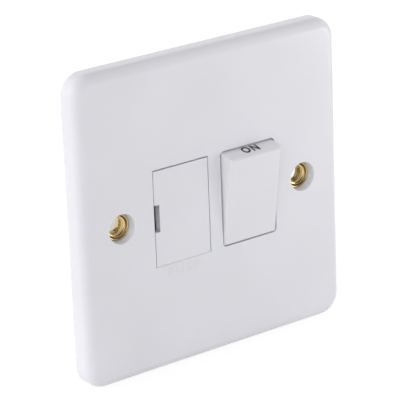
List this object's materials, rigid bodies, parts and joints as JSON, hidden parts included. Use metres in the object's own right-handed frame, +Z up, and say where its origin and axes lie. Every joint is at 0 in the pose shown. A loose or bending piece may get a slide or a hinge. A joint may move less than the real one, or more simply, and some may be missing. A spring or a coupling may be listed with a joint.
{
  "type": "fused spur unit",
  "caption": "Square white wall plate with a tilt-out fuse carrier beside a rocker switch, joining a fixed appliance to the mains through a cartridge fuse.",
  "frame": {"origin": "midway between the fixing holes, on the wall plane that the plate's rim seats on", "axes": "+X right seen from the front, +Y into the wall, +Z up"},
  "size_m": [0.086, 0.0297, 0.086],
  "materials": {
    "white_plastic": "moulded, soft gloss",
    "housing_plastic": "moulded, matt",
    "plated_steel": "zinc plated",
    "strap_brass": "pressed sheet",
    "terminal_brass": "machined",
    "screw_brass": "turned",
    "ceramic": "glazed",
    "plated_cap": "nickel plated",
    "contact_copper": "sheet, as rolled",
    "nylon": "natural",
    "spring_steel": "drawn wire",
    "silver": "welded bar"
  },
  "bodies": {
    "base": {"front_plate": "white_plastic", "rear_housing": "housing_plastic", "housing_screws": "plated_steel", "earth_strap": "strap_brass", "terminal_load_live": "terminal_brass", "terminal_load_neutral": "terminal_brass", "terminal_supply_live": "terminal_brass", "terminal_supply_neutral": "terminal_brass", "terminal_earth_supply": "terminal_brass", "terminal_earth_load": "terminal_brass", "terminal_screws": "screw_brass", "fuse_contact_upper": "contact_copper", "fuse_contact_lower": "contact_copper", "fixed_tips": "silver", "fixed_contact_live": "contact_copper", "fixed_contact_neutral": "contact_copper", "saddle_live": "contact_copper", "saddle_neutral": "contact_copper"},
    "carrier": {"fuse_carrier": "white_plastic", "fuse_tube": "ceramic", "fuse_cap_upper": "plated_cap", "fuse_cap_lower": "plated_cap"},
    "rocker": {"rocker": "white_plastic", "plunger_live": "nylon", "plunger_neutral": "nylon", "spring_live": "spring_steel", "spring_neutral": "spring_steel"},
    "moving_contacts": {"moving_contact_live": "contact_copper", "moving_contact_neutral": "contact_copper", "moving_tips": "silver"}
  },
  "joints": [
    {"name": "rocker_tilt", "type": "hinge", "parent": "base", "child": "rocker", "pos_m": [0.0115, -0.0042, 0], "axis": [-1, 0, 0], "range_deg": [0, 20.6]},
    {"name": "carrier_hinge", "type": "hinge", "parent": "base", "child": "carrier", "pos_m": [-0.00552, -0.0045, 0], "axis": [0, 0, 1], "range_deg": [0, 83]},
    {"name": "contact_rock", "type": "hinge", "parent": "base", "child": "moving_contacts", "pos_m": [0.0115, 0.0085, 0], "axis": [1, 0, 0], "range_deg": [0, 12.36]}
  ],
  "couplings": [
    {"joint": "contact_rock", "follows": "rocker_tilt", "ratio": 0.6}
  ]
}
